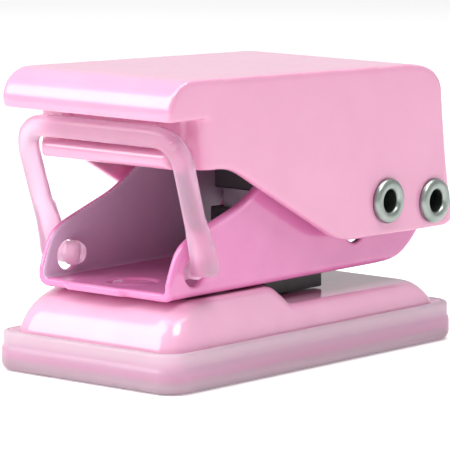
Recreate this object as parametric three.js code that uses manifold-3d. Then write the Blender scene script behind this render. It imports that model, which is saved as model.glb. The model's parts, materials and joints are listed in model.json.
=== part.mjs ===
// Corner rounder: a hand punch that trims the corner of a sheet to a 5 mm radius.
// Millimetres, +Z up. X is the width, -Y the latch end, +Y the pivot end where the paper goes in.
// The punch is drawn closed and latched: the blade is down in the die and the loop holds the handle.
import * as THREE from 'three';
import { mergeVertices } from 'three/addons/utils/BufferGeometryUtils.js';
import Module from 'manifold-3d';

const wasm = await Module();
wasm.setup();

// ---- driving dimensions -------------------------------------------------------------------

const GAP = 0.3;                 // clearance between touching pieces
const SHEET = 1.1;               // pressed steel of the frame and base
const SHELL = 1.6;               // moulded wall of the handle
const CURVE_STEPS = 4;           // straight pieces in each curved stretch of an outline
const ROUND_SIDES = 20;

const tray = { halfWidth: 18.9, halfLength: 35, height: 6.3, corner: 4, wall: 1.2, floor: 1.2, edge: 0.6 };
const ledge = { top: 1.9, width: 1.2 };
const base = { bottom: 2.2, lowTop: 9.9, highTop: 12.9 };
const channel = { halfWidth: 13.6, bottom: 13.2, bend: 1.5, front: -29.6, floorEnd: 22 };
const handle = { halfWidth: 17.3, front: -33.8, rear: 36.2, lipBottom: 41, noseHalfWidth: 13.3, edge: 2.6 };
const pivot = { y: 29.9, z: 22.9 };
const lever = { y: 18, z: 24.1 };
const latch = {
  y: -24, z: 17.8, barZ: 38.3, lean: -6.5, rod: 3.4, depth: 2.8, armX: 15.5, splay: 0.5, bend: 5.2,
};
const foot = { halfDepth: 2.1, bottom: 16.8, top: 20.5, corner: 1 };   // lower end of each latch arm
const apex = { y: 6 };           // where the two paper stops would meet
const cornerRadius = 5;
const blade = { halfWidth: 3.8, front: 2.8, bottom: 9, top: 31 };
const rivet = { shank: 2.5, bore: 1.75, flange: 3.6, proud: 0.95 };
const spring = { x: 7.8, y: 10.6, radius: 1.9, wire: 0.35, bottom: 16.5, top: 25.7, turns: 5 };
const head = { halfWidth: 4.9, front: 1.7, rear: 13.2, bottom: 26, top: 34 };
const wing = { halfWidth: 10.1, front: 8, thickness: 2 };
const crossPin = { y: 6, z: 29.6, radius: 1 };
const nose = { y: 8.5, z: 36.4, radius: 2 };
const screw = { shank: 1, flange: 1.5 };       // the small screws and the die's rivets
const stud = { shank: 1.5, flange: 2.5, bottom: 10.4 };  // the rivets that hold the channel on the base
const peg = { neck: 1.7, head: 2, tip: 1.4, end: 9.9, slit: 0.8 };   // split peg that snaps in the wall
const pegHole = { radius: 2.35, drop: 0.45 };        // a little below the peg, which hangs in it
const FAR = 40;                  // beyond the punch on every side, for tools that cut right through

const frameFloorTop = channel.bottom + SHEET;
const screwHole = screw.shank + GAP;
const frameInside = channel.halfWidth - SHEET;

// The handle reaches further back than the tray, so the middle of the whole length is not the tray's.
const middleOfLength = (handle.rear - tray.halfLength) / 2;

// ---- solids ---------------------------------------------------------------------------------

function solid(geometry) {
  const bare = geometry.clone();
  bare.deleteAttribute('normal');
  bare.deleteAttribute('uv');
  const merged = mergeVertices(bare, 1e-4);
  const index = merged.index.array;
  const triangles = [];
  for (let i = 0; i < index.length; i += 3) {
    const [a, b, c] = [index[i], index[i + 1], index[i + 2]];
    const collapsed = a === b || b === c || c === a;
    if (!collapsed) triangles.push(a, b, c);
  }
  const vertProperties = new Float32Array(merged.attributes.position.array);
  const triVerts = new Uint32Array(triangles);
  return new wasm.Manifold(new wasm.Mesh({ numProp: 3, vertProperties, triVerts }));
}

function geometryOf(body) {
  const mesh = body.getMesh();
  const geometry = new THREE.BufferGeometry();
  geometry.setAttribute('position', new THREE.BufferAttribute(new Float32Array(mesh.vertProperties), 3));
  geometry.setIndex(new THREE.BufferAttribute(new Uint32Array(mesh.triVerts), 1));
  geometry.computeVertexNormals();
  return geometry;
}

function join(first, ...others) {
  return others.reduce((body, other) => body.add(other), first);
}

function cut(body, ...tools) {
  return tools.reduce((rest, tool) => rest.subtract(tool), body);
}

// A box between two corners.
function block([x0, y0, z0], [x1, y1, z1]) {
  const geometry = new THREE.BoxGeometry(x1 - x0, y1 - y0, z1 - z0);
  geometry.translate((x0 + x1) / 2, (y0 + y1) / 2, (z0 + z1) / 2);
  return solid(geometry);
}

// A plan outline in X and Y, raised between two heights.
function raise(shape, z0, z1) {
  const geometry = new THREE.ExtrudeGeometry(shape, {
    depth: z1 - z0, bevelEnabled: false, curveSegments: CURVE_STEPS,
  });
  geometry.translate(0, 0, z0);
  return solid(geometry);
}

const sideways = new THREE.Matrix4().makeBasis(
  new THREE.Vector3(0, 1, 0),
  new THREE.Vector3(0, 0, 1),
  new THREE.Vector3(1, 0, 0),
);

// A side outline in Y and Z, spread across the width, with its edges rounded where asked.
function spread(shape, x0, x1, rounding = 0) {
  const geometry = new THREE.ExtrudeGeometry(shape, {
    depth: x1 - x0 - 2 * rounding,
    curveSegments: CURVE_STEPS,
    bevelEnabled: rounding > 0,
    bevelThickness: rounding,
    bevelSize: rounding,
    bevelOffset: -rounding,
    bevelSegments: 3,
  });
  geometry.translate(0, 0, x0 + rounding);
  geometry.applyMatrix4(sideways);
  return solid(geometry);
}

// A turned solid about a vertical line: profile points are [radius, height].
function turned(profile, x, y) {
  const points = profile.map(([radius, height]) => new THREE.Vector2(radius, height));
  const geometry = new THREE.LatheGeometry(points, ROUND_SIDES);
  geometry.rotateX(Math.PI / 2);
  geometry.scale(1, -1, 1);
  geometry.translate(x, y, 0);
  return outward(geometry);
}

// A turned solid about a line across the width: profile points are [radius, x].
function turnedAcross(profile, y, z) {
  const points = profile.map(([radius, height]) => new THREE.Vector2(radius, height));
  const geometry = new THREE.LatheGeometry(points, ROUND_SIDES);
  geometry.rotateZ(-Math.PI / 2);
  geometry.translate(0, y, z);
  return outward(geometry);
}

// A lathe faces in or out by the direction of its profile, so the faces are turned to point out.
function outward(geometry) {
  const position = geometry.attributes.position;
  const index = geometry.index;
  const [a, b, c] = [0, 1, 2].map(() => new THREE.Vector3());
  let volume = 0;
  for (let i = 0; i < index.count; i += 3) {
    a.fromBufferAttribute(position, index.getX(i));
    b.fromBufferAttribute(position, index.getX(i + 1));
    c.fromBufferAttribute(position, index.getX(i + 2));
    volume += a.dot(b.cross(c));
  }
  if (volume < 0) index.array.reverse();
  return solid(geometry);
}

function pinUp(radius, z0, z1, x, y) {
  return turned([[0, z0], [radius, z0], [radius, z1], [0, z1]], x, y);
}

function pinAcross(radius, x0, x1, y, z) {
  return turnedAcross([[0, x0], [radius, x0], [radius, x1], [0, x1]], y, z);
}

function roundedRectangle(x0, y0, x1, y1, r) {
  const shape = new THREE.Shape();
  shape.moveTo(x0 + r, y0);
  shape.lineTo(x1 - r, y0);
  shape.absarc(x1 - r, y0 + r, r, -Math.PI / 2, 0, false);
  shape.lineTo(x1, y1 - r);
  shape.absarc(x1 - r, y1 - r, r, 0, Math.PI / 2, false);
  shape.lineTo(x0 + r, y1);
  shape.absarc(x0 + r, y1 - r, r, Math.PI / 2, Math.PI, false);
  shape.lineTo(x0, y0 + r);
  shape.absarc(x0 + r, y0 + r, r, Math.PI, 1.5 * Math.PI, false);
  return shape;
}

// The outline swept by a circle that grows or shrinks from one centre to another.
function capsule(ya, za, ra, yb, zb, rb) {
  const along = Math.atan2(zb - za, yb - ya);
  const lean = Math.acos((ra - rb) / Math.hypot(yb - ya, zb - za));
  const shape = new THREE.Shape();
  shape.absarc(ya, za, ra, along + lean, along - lean + 2 * Math.PI, false);
  shape.absarc(yb, zb, rb, along - lean, along + lean, false);
  return shape;
}

// Rounded rectangles stacked one above the other and skinned. Each is { z, x, front, rear, r }.
function stack(sections) {
  const rings = sections.map(({ z, x, front, rear, r }) => {
    const outline = roundedRectangle(-x, front, x, rear, r).getPoints(CURVE_STEPS);
    outline.pop();
    return outline.map((point) => [point.x, point.y, z]);
  });
  const count = rings[0].length;
  const positions = rings.flat(2);
  const index = [];
  for (let level = 0; level + 1 < rings.length; level += 1) {
    for (let i = 0; i < count; i += 1) {
      const a = level * count + i;
      const b = level * count + (i + 1) % count;
      index.push(a, b, b + count, a, b + count, a + count);
    }
  }
  const last = (rings.length - 1) * count;
  for (let i = 1; i + 1 < count; i += 1) {
    index.push(0, i + 1, i);
    index.push(last, last + i, last + i + 1);
  }
  const geometry = new THREE.BufferGeometry();
  geometry.setAttribute('position', new THREE.Float32BufferAttribute(positions, 3));
  geometry.setIndex(index);
  return solid(geometry);
}

// ---- materials ------------------------------------------------------------------------------

function finish(color, roughness, metalness) {
  return () => new THREE.MeshStandardMaterial({ color, roughness, metalness });
}

const pinkPaint = finish(0xf29fc9, 0.22, 0.0);
const pinkPlastic = finish(0xf6b0d4, 0.25, 0.0);
const frostedPlastic = finish(0xf3d5e6, 0.45, 0.0);
const blackPlastic = finish(0x26262a, 0.5, 0.0);
const brightSteel = finish(0xb9bcb8, 0.25, 1.0);
const toolSteel = finish(0x8f9296, 0.35, 1.0);

// ---- chip tray ------------------------------------------------------------------------------

function chipTray() {
  const { halfWidth, halfLength, height, corner, wall, floor, edge } = tray;
  const outline = roundedRectangle(-halfWidth, -halfLength, halfWidth, halfLength, corner);
  const geometry = new THREE.ExtrudeGeometry(outline, {
    depth: height - 2 * edge,
    curveSegments: CURVE_STEPS,
    bevelThickness: edge,
    bevelSize: edge,
    bevelOffset: -edge,
    bevelSegments: 2,
  });
  geometry.translate(0, 0, edge);
  const insideX = halfWidth - wall;
  const insideY = halfLength - wall;
  const upper = roundedRectangle(-insideX, -insideY, insideX, insideY, corner - wall);
  const lowX = insideX - ledge.width;
  const lowY = insideY - ledge.width;
  const lower = roundedRectangle(-lowX, -lowY, lowX, lowY, corner - wall);
  return cut(solid(geometry), raise(upper, ledge.top, height + 1), raise(lower, floor, height + 1));
}

// ---- base -----------------------------------------------------------------------------------

// Paper table, behind the step. Its front end is buried in the raised part.
const tableSections = [
  { z: base.bottom, x: 17.2, front: -20, rear: 32.6, r: 4 },
  { z: 6, x: 17.1, front: -20, rear: 32.5, r: 4 },
  { z: 7.6, x: 16.9, front: -20, rear: 31.4, r: 4 },
  { z: 8.8, x: 16.4, front: -20, rear: 30.1, r: 4 },
  { z: 9.6, x: 15.7, front: -20, rear: 28.8, r: 3.6 },
  { z: base.lowTop, x: 15, front: -20, rear: 27.8, r: 3.2 },
];

// Raised part that carries the channel, with a round shoulder in front and a ramp behind.
const raisedSections = [
  { z: base.bottom, x: 17.2, front: -32.9, rear: 2, r: 4 },
  { z: 6, x: 17.1, front: -32.8, rear: 2, r: 4 },
  { z: 7.4, x: 16.9, front: -32.3, rear: 1.5, r: 4 },
  { z: 8.7, x: 16.5, front: -31.8, rear: 0.5, r: 4 },
  { z: 9.9, x: 16, front: -31, rear: -1.9, r: 4 },
  { z: 10.9, x: 15.5, front: -30, rear: -2.8, r: 4 },
  { z: 11.8, x: 14.9, front: -28.6, rear: -3.6, r: 4 },
  { z: 12.5, x: 14.3, front: -27, rear: -4.4, r: 3.6 },
  { z: base.highTop, x: 13.4, front: -25, rear: -5.6, r: 3 },
];

// The inside of a pressed part: every section moved in and down by the sheet, and open below.
function hollow(sections) {
  const inside = sections.slice(1).map(({ z, x, front, rear, r }) => (
    { z: z - SHEET, x: x - SHEET, front: front + SHEET, rear: rear - SHEET, r: r - SHEET / 2 }
  ));
  return stack([{ ...inside[0], z: base.bottom - 1 }, ...inside]);
}

const dieSeat = { halfWidth: 6.2, front: 0.5, rear: 13.4 };
const dieFlange = { halfWidth: 10, front: -1.2, rear: 17.4, top: 8.4, bottom: 6.6 };
const dieRivetSpots = [['left', -8, 15.2], ['right', 8, 15.2]];
const frontRivetSpot = { x: 0, y: -22.7 };
const rearRivetSpots = [['left', -8.5, -13], ['right', 8.5, -13]];
const dish = { shank: 2, neck: 2.4, neckTop: 13.3, mouth: 4.1 };   // sunk seat of the front rivet

function basePan() {
  const outside = join(stack(tableSections), stack(raisedSections));
  const shell = cut(outside, hollow(tableSections), hollow(raisedSections));
  const seat = block(
    [-dieSeat.halfWidth - GAP, dieSeat.front - GAP, 0],
    [dieSeat.halfWidth + GAP, dieSeat.rear + GAP, FAR],
  );
  const dieHoles = dieRivetSpots.map(([, x, y]) => pinUp(screwHole, 0, FAR, x, y));
  const rearHoles = rearRivetSpots.map(([, x, y]) => pinUp(stud.shank + GAP, 0, FAR, x, y));
  const frontHole = pinUp(dish.shank + GAP, 0, FAR, frontRivetSpot.x, frontRivetSpot.y);
  return cut(shell, seat, frontHole, ...dieHoles, ...rearHoles);
}

// ---- cutting set ----------------------------------------------------------------------------

// Blade outline, grown by a clearance for the hole that it runs in.
function bladeOutline(clearance) {
  const x = blade.halfWidth + clearance;
  const tangent = cornerRadius / Math.SQRT2;
  const centre = apex.y + cornerRadius * Math.SQRT2;
  const radius = cornerRadius - clearance;
  const shoulder = apex.y + tangent + clearance;
  const sweep = Math.acos((centre - shoulder) / radius);
  const shape = new THREE.Shape();
  shape.moveTo(-x, blade.front - clearance);
  shape.lineTo(x, blade.front - clearance);
  shape.lineTo(x, shoulder);
  shape.absarc(0, centre, radius, -Math.PI / 2 + sweep, -Math.PI / 2 - sweep, true);
  shape.lineTo(-x, shoulder);
  shape.closePath();
  return shape;
}

function cutterBlade() {
  return cut(raise(bladeOutline(0), blade.bottom, blade.top), pinHole());
}

function pinHole() {
  return pinAcross(crossPin.radius + GAP, -FAR, FAR, crossPin.y, crossPin.z);
}

function diePlate() {
  const insert = block(
    [-dieSeat.halfWidth, dieSeat.front, dieFlange.bottom],
    [dieSeat.halfWidth, dieSeat.rear, base.lowTop],
  );
  const flange = block(
    [-dieFlange.halfWidth, dieFlange.front, dieFlange.bottom],
    [dieFlange.halfWidth, dieFlange.rear, dieFlange.top],
  );
  const holes = dieRivetSpots.map(([, x, y]) => pinUp(screwHole, 0, FAR, x, y));
  return cut(join(insert, flange), raise(bladeOutline(GAP), 0, FAR), ...holes);
}

// A rivet that is flush with the paper table and has its head under the die's flange.
function dieRivet(x, y) {
  const headRadius = 1.9;
  const headTop = dieFlange.bottom - GAP;
  const headBottom = headTop - 0.7;
  return turned([
    [0, headBottom], [headRadius, headBottom], [headRadius, headTop],
    [screw.shank, headTop], [screw.shank, base.lowTop], [0, base.lowTop],
  ], x, y);
}

const guide = { halfWidth: 8.6, front: -1.9, mouth: 12.8, bottom: 10.2, top: 12.9, wellDepth: 1.6 };
const guideScrewSpots = [['left', -5.9, 0.3], ['right', 5.9, 0.3]];

// Paper stop: two arms at 45 degrees that open towards the pivot end.
function cornerGuide() {
  const outline = roundedRectangle(-guide.halfWidth, guide.front, guide.halfWidth, guide.mouth, 0.8);
  const reach = guide.mouth + 1 - apex.y;
  const notch = new THREE.Shape();
  notch.moveTo(0, apex.y);
  notch.lineTo(reach, guide.mouth + 1);
  notch.lineTo(-reach, guide.mouth + 1);
  notch.closePath();
  const well = block(
    [-blade.halfWidth - GAP, blade.front - GAP, 0],
    [blade.halfWidth + GAP, apex.y + blade.halfWidth + GAP, FAR],
  );
  const screwWells = guideScrewSpots.map(([, x, y]) => join(
    pinUp(screw.flange + GAP, 0, guide.bottom + guide.wellDepth, x, y),
    pinUp(screwHole, 0, FAR, x, y),
  ));
  return cut(raise(outline, guide.bottom, guide.top), raise(notch, 0, FAR), well, ...screwWells);
}

// A screw up through the paper stop into the channel floor, with its head sunk below.
function guideScrew(x, y) {
  const headBottom = guide.bottom + 0.2;
  const headTop = guide.bottom + guide.wellDepth - GAP;
  const tip = frameFloorTop + 0.2;
  return turned([
    [0, headBottom], [screw.flange, headBottom], [screw.flange, headTop],
    [screw.shank, headTop], [screw.shank, tip], [0, tip],
  ], x, y);
}

const tower = {
  halfWidth: 5.2, footHalfWidth: 10.2, front: 1.2, rear: 13, bottom: 14.6, footTop: 16.2, top: 23,
};
const towerScrewSpots = [['left', -7.9, 4.4], ['right', 7.9, 4.4]];

// Block on the channel floor that keeps the blade upright and carries the springs on its feet.
function bladeGuide() {
  const { halfWidth, footHalfWidth, front, rear, bottom, footTop, top } = tower;
  const body = block([-halfWidth, front, bottom], [halfWidth, rear, top]);
  const feet = block([-footHalfWidth, front, bottom], [footHalfWidth, rear, footTop]);
  const holes = towerScrewSpots.map(([, x, y]) => pinUp(screwHole, 0, FAR, x, y));
  return cut(join(body, feet), raise(bladeOutline(GAP), 0, FAR), ...holes);
}

// A screw down through a foot of the blade guide into the channel floor.
function towerScrew(x, y) {
  const tip = channel.bottom + 0.2;
  const headRadius = 1.8;
  const headBottom = tower.footTop + GAP;
  const headTop = headBottom + 1.2;
  return turned([
    [0, tip], [screw.shank, tip], [screw.shank, headBottom],
    [headRadius, headBottom], [screw.flange, headTop], [0, headTop],
  ], x, y);
}

// Plastic cap on the blade. The lever presses its top and the springs push its wings up.
function cutterHead() {
  const cap = block([-head.halfWidth, head.front, head.bottom], [head.halfWidth, head.rear, head.top]);
  const wings = block(
    [-wing.halfWidth, wing.front, head.bottom],
    [wing.halfWidth, head.rear, head.bottom + wing.thickness],
  );
  const socket = raise(bladeOutline(GAP), head.bottom - 1, blade.top + GAP);
  return cut(join(cap, wings), socket, pinHole());
}

function bladePin() {
  return pinAcross(crossPin.radius, -head.halfWidth, head.halfWidth, crossPin.y, crossPin.z);
}

class Helix extends THREE.Curve {
  constructor(x, y, bottom, top, radius, turns) {
    super();
    Object.assign(this, { x, y, bottom, top, radius, turns });
  }

  getPoint(t, target = new THREE.Vector3()) {
    const angle = 2 * Math.PI * this.turns * t;
    return target.set(
      this.x + this.radius * Math.cos(angle),
      this.y + this.radius * Math.sin(angle),
      this.bottom + (this.top - this.bottom) * t,
    );
  }
}

function returnSpring(side) {
  const { x, y, radius, wire, bottom, top, turns } = spring;
  const section = new THREE.Shape();
  section.absarc(0, 0, wire, 0, 2 * Math.PI, false);
  const path = new Helix(side * x, y, bottom + wire, top - wire, radius, turns);
  const steps = turns * 10;
  return solid(new THREE.ExtrudeGeometry(section, { steps, extrudePath: path, curveSegments: 3 }));
}

// ---- channel frame --------------------------------------------------------------------------

function wallOutline() {
  const { front, bottom, floorEnd } = channel;
  const shoulder = [[5, 36], [0, 34.9], [-5, 31.7], [-9.1, 28.8], [-13.4, 26.4], [-19.9, 24.2], [-25.2, 22.4],
    [-27.9, 20.2], [front - 0.2, bottom + 2.3]];
  const shape = new THREE.Shape();
  shape.moveTo(front, bottom);
  shape.lineTo(floorEnd, bottom);
  shape.quadraticCurveTo(28, 13.6, pivot.y + 2.6, pivot.z - 3);
  shape.absarc(pivot.y, pivot.z, 4, -Math.PI / 4, Math.PI / 2, false);
  shape.quadraticCurveTo(26, 28.5, 25, 33);
  shape.quadraticCurveTo(24.4, 36, 21, 36);
  shape.lineTo(5, 36);
  shape.splineThru(shoulder.slice(1).map(([y, z]) => new THREE.Vector2(y, z)));
  shape.closePath();
  return shape;
}

// Folded blank seen from the front: square at the top, with the fold's radius at the bottom.
function foldOutline() {
  const { halfWidth, bottom, bend } = channel;
  const shape = new THREE.Shape();
  shape.moveTo(-halfWidth + bend, bottom);
  shape.lineTo(halfWidth - bend, bottom);
  shape.absarc(halfWidth - bend, bottom + bend, bend, -Math.PI / 2, 0, false);
  shape.lineTo(halfWidth, FAR);
  shape.lineTo(-halfWidth, FAR);
  shape.lineTo(-halfWidth, bottom + bend);
  shape.absarc(-halfWidth + bend, bottom + bend, bend, Math.PI, 1.5 * Math.PI, false);
  return shape;
}

function foldedBlank() {
  const geometry = new THREE.ExtrudeGeometry(foldOutline(), {
    depth: 2 * FAR, bevelEnabled: false, curveSegments: CURVE_STEPS,
  });
  geometry.rotateX(Math.PI / 2);
  geometry.translate(0, FAR, 0);
  return solid(geometry).intersect(spread(wallOutline(), -channel.halfWidth, channel.halfWidth));
}

const leverTravel = { back: 0.7, up: 2.9, radius: 3 };   // where the lever rivet goes as the handle opens
const reliefHole = { y: 14.6, z: 20.1, radius: 2.6 };    // round opening in front of that travel

// Both as one hole in each wall. A capsule's two ends differ a little so that it has a leaning side.
function leverOpening() {
  const slack = 0.01;
  const { back, up, radius } = leverTravel;
  const travel = capsule(lever.y, lever.z, radius, lever.y + back, lever.z + up, radius + slack);
  const { y, z } = reliefHole;
  const relief = capsule(y, z, reliefHole.radius, lever.y, lever.z, reliefHole.radius + slack);
  return join(spread(travel, -FAR, FAR), spread(relief, -FAR, FAR));
}

function channelFrame() {
  const inside = block([-frameInside, -FAR, frameFloorTop], [frameInside, FAR, FAR]);
  const rearGap = block([-frameInside, channel.floorEnd, 0], [frameInside, FAR, FAR]);
  const floorHoles = [
    raise(bladeOutline(GAP), 0, FAR),
    ...[...guideScrewSpots, ...towerScrewSpots].map(([, x, y]) => pinUp(screwHole, 0, FAR, x, y)),
    ...rearRivetSpots.map(([, x, y]) => pinUp(stud.shank + GAP, 0, FAR, x, y)),
    dishedHole(),
  ];
  return cut(
    join(foldedBlank(), frontTab()), inside, rearGap, leverOpening(), crossHole(pivot),
    pinAcross(pegHole.radius, -FAR, FAR, latch.y, latch.z - pegHole.drop), ...floorHoles,
  );
}

function dishedHole() {
  const { neck, neckTop, mouth } = dish;
  const profile = [[0, 0], [neck, 0], [neck, neckTop], [mouth, frameFloorTop], [mouth, FAR], [0, FAR]];
  return turned(profile, frontRivetSpot.x, frontRivetSpot.y);
}

// Tab that stands proud at the front edge of the floor, a little left of the middle.
function frontTab() {
  const proud = 0.5;
  return block([-7.5, channel.front - proud, channel.bottom], [4, channel.front + 1, frameFloorTop]);
}

// Hole through every wall for a tubular rivet.
function crossHole({ y, z }) {
  return pinAcross(rivet.shank + GAP, -FAR, FAR, y, z);
}

// Flush rivet in the dished hole at the front of the channel floor.
function frontRivet() {
  const { x, y } = frontRivetSpot;
  const tailTop = stud.bottom + 1;
  const headTop = frameFloorTop - GAP;
  return turned([
    [0, stud.bottom], [dish.shank + 1.2, stud.bottom], [dish.shank + 1.2, tailTop], [dish.shank, tailTop],
    [dish.shank, dish.neckTop - 0.1], [dish.mouth - 0.6, headTop], [0, headTop],
  ], x, y);
}

function rearRivet(x, y) {
  const tailTop = stud.bottom + 1;
  const headTop = frameFloorTop - 0.1;
  return turned([
    [0, stud.bottom], [stud.flange, stud.bottom], [stud.flange, tailTop],
    [stud.shank, tailTop], [stud.shank, headTop], [0, headTop],
  ], x, y);
}

// ---- handle ---------------------------------------------------------------------------------

const catchNose = { y: -28.4, z: 34.7, radius: 1.5 };
const groove = { floor: -26.8, ribDepth: 0.5, ribs: [-10, 0, 10], ribHalfWidth: 1 };
const pressRib = { at: [-6, 6], halfWidth: 0.8, front: 5, rear: 17, bottom: 38.9, top: 45 };

function handleOutline() {
  const shape = new THREE.Shape();
  shape.moveTo(handle.front, 33.3);
  shape.lineTo(handle.front, handle.lipBottom + 1.2);
  shape.bezierCurveTo(handle.front, 44.4, -32, 47, -28, 47);
  shape.lineTo(23.5, 45.35);
  shape.quadraticCurveTo(31.2, 45, 32.2, 41);
  shape.lineTo(handle.rear, 22.5);
  shape.quadraticCurveTo(handle.rear + 0.2, 18.6, 33, 18.5);
  shape.lineTo(10.5, 18.7);
  shape.quadraticCurveTo(6.4, 18.8, 4, 20.2);
  shape.lineTo(-15.4, 30.7);
  shape.quadraticCurveTo(-19, 32.9, -22, 33);
  shape.closePath();
  return shape;
}

function handleInside() {
  const shape = new THREE.Shape();
  shape.moveTo(-25.2, 30);
  shape.lineTo(-25.2, 45.25);
  shape.lineTo(23.3, 43.75);
  shape.lineTo(28.9, 42.6);
  shape.lineTo(30.6, 40.6);
  shape.lineTo(34.7, 22);
  shape.lineTo(34.7, 10);
  shape.lineTo(-10, 10);
  shape.closePath();
  return shape;
}

function handleShell() {
  const { halfWidth, lipBottom, noseHalfWidth, edge } = handle;
  const wall = halfWidth - SHELL;
  const cheekFront = -26;
  const noseWall = noseHalfWidth - SHELL;
  const outside = spread(handleOutline(), -halfWidth, halfWidth, edge);
  const noseRoom = block([-noseWall, -FAR, 0], [noseWall, 0, 2 * FAR]);
  const roomBehind = block([-wall, cheekFront + SHELL, 0], [wall, FAR, 2 * FAR]);
  const room = spread(handleInside(), -wall, wall).intersect(join(noseRoom, roomBehind));
  const underLip = block([-FAR, -FAR, 0], [FAR, groove.floor, lipBottom]);
  const besideNose = [-1, 1].map((side) => {
    const [x0, x1] = [side * noseHalfWidth, side * FAR].sort((a, b) => a - b);
    return block([x0, -FAR, 0], [x1, cheekFront, lipBottom]);
  });
  const { y, z, radius } = catchNose;
  const catchLedge = join(
    block([-noseHalfWidth, y, z - radius], [noseHalfWidth, groove.floor + 0.5, z + radius]),
    pinAcross(radius, -noseHalfWidth, noseHalfWidth, y, z),
  );
  const grooveRibs = groove.ribs.map((x) => block(
    [x - groove.ribHalfWidth, groove.floor - groove.ribDepth, catchNose.z + catchNose.radius - 0.2],
    [x + groove.ribHalfWidth, groove.floor + 0.5, lipBottom + 0.5],
  ));
  const pressRibs = pressRib.at.map((x) => block(
    [x - pressRib.halfWidth, pressRib.front, pressRib.bottom],
    [x + pressRib.halfWidth, pressRib.rear, pressRib.top],
  ));
  return cut(
    join(cut(outside, room, underLip, ...besideNose), catchLedge, ...grooveRibs, ...pressRibs),
    crossHole(pivot),
    crossHole(lever),
  );
}

// Tubular rivet across the whole handle, rolled over at both ends.
function tubularRivet({ y, z }) {
  const { shank, bore, flange, proud } = rivet;
  const seat = handle.halfWidth + GAP / 2;
  const end = seat + proud;
  const half = [
    [bore + 0.5, end], [flange - 0.9, end], [flange - 0.2, end - 0.35], [flange, seat + 0.1], [shank, seat],
  ];
  const mirrored = half.map(([radius, x]) => [radius, -x]).reverse();
  const inner = [[bore, -end + 0.5], [bore, end - 0.5], half[0]];
  return turnedAcross([...half, ...mirrored, ...inner], y, z);
}

function pivotWasher(side) {
  const inner = rivet.shank + GAP;
  const rim = 4;
  const [near, far] = [side * (channel.halfWidth + GAP), side * (handle.halfWidth - SHELL - GAP)];
  const profile = [[inner, near], [rim, near], [rim, far], [inner, far], [inner, near]];
  return turnedAcross(profile, pivot.y, pivot.z);
}

const bracket = 1.5;             // sheet of the lever bracket

// Steel bracket on the lever rivet: two cheeks and a round nose that presses the cutter head.
function pressLever() {
  const outer = 12;
  const inner = outer - bracket;
  const cheek = capsule(lever.y, lever.z, 4.6, nose.y, nose.z, nose.radius);
  const cheeks = [[-outer, -inner], [inner, outer]].map(([x0, x1]) => spread(cheek, x0, x1));
  const bar = pinAcross(nose.radius, -outer, outer, nose.y, nose.z);
  const webTop = nose.z + nose.radius;
  const web = block([-outer, nose.y, webTop - bracket], [outer, nose.y + 4, webTop]);
  return cut(
    join(bar, web, ...cheeks),
    crossHole(lever),
  );
}

// ---- latch ----------------------------------------------------------------------------------

// Centre line of the loop: up one side, across the front of the handle and down the other side.
function loopPath() {
  const { y, z, barZ, lean, armX, splay, bend } = latch;
  const at = (x, height) => {
    const rise = (height - z) / (barZ - z);
    return new THREE.Vector3(x + Math.sign(x) * splay * rise, y + lean * rise, height);
  };
  const path = new THREE.CurvePath();
  const corner = (from, middle, to) => new THREE.QuadraticBezierCurve3(from, middle, to);
  path.add(new THREE.LineCurve3(at(armX, z), at(armX, barZ - bend)));
  path.add(corner(at(armX, barZ - bend), at(armX, barZ), at(armX - bend, barZ)));
  path.add(new THREE.LineCurve3(at(armX - bend, barZ), at(-armX + bend, barZ)));
  path.add(corner(at(-armX + bend, barZ), at(-armX, barZ), at(-armX, barZ - bend)));
  path.add(new THREE.LineCurve3(at(-armX, barZ - bend), at(-armX, z)));
  return path;
}

function latchLoop() {
  const { y, z, rod, depth, armX } = latch;
  const section = roundedRectangle(-rod / 2, -depth / 2, rod / 2, depth / 2, 1.3);
  const geometry = new THREE.ExtrudeGeometry(section, {
    steps: 26, extrudePath: loopPath(), curveSegments: 2,
  });
  const innerFace = channel.halfWidth + GAP;
  const outerFace = armX + rod / 2;
  const wallInside = frameInside - GAP;
  const sides = [-1, 1].flatMap((side) => {
    const [x0, x1] = [side * innerFace, side * outerFace].sort((a, b) => a - b);
    const plan = roundedRectangle(x0, y - foot.halfDepth, x1, y + foot.halfDepth, foot.corner);
    return [
      raise(plan, foot.bottom, foot.top),
      pinAcross(peg.neck, side * (wallInside - 0.5), side * (innerFace + 0.5), y, z),
      turnedAcross([
        [0, side * peg.end], [peg.tip, side * peg.end], [peg.head, side * (wallInside - 0.8)],
        [peg.head, side * wallInside], [0, side * wallInside],
      ], y, z),
    ];
  });
  const arms = solid(geometry);
  const slits = [-1, 1].map((side) => {
    const [x0, x1] = [side * (peg.end - 1), side * frameInside].sort((a, b) => a - b);
    return block([x0, y - peg.slit / 2, z - FAR], [x1, y + peg.slit / 2, z + FAR]);
  });
  return cut(join(arms, ...sides), ...slits);
}

// ---- assembly -------------------------------------------------------------------------------

const punch = new THREE.Group();

function place(name, material, body) {
  const mesh = new THREE.Mesh(geometryOf(body), material());
  mesh.name = name;
  punch.add(mesh);
}

place('chip_tray', frostedPlastic, chipTray());
place('base_pan', pinkPaint, basePan());
place('die_plate', toolSteel, diePlate());
place('corner_guide', blackPlastic, cornerGuide());
place('channel_frame', pinkPaint, channelFrame());
place('blade_guide', blackPlastic, bladeGuide());
place('front_rivet', pinkPaint, frontRivet());
for (const [side, x, y] of dieRivetSpots) place(`die_rivet_${side}`, brightSteel, dieRivet(x, y));
for (const [side, x, y] of guideScrewSpots) place(`guide_screw_${side}`, brightSteel, guideScrew(x, y));
for (const [side, x, y] of towerScrewSpots) place(`tower_screw_${side}`, brightSteel, towerScrew(x, y));
for (const [side, x, y] of rearRivetSpots) place(`rear_rivet_${side}`, brightSteel, rearRivet(x, y));

place('cutter_blade', toolSteel, cutterBlade());
place('cutter_head', blackPlastic, cutterHead());
place('blade_pin', brightSteel, bladePin());

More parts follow.
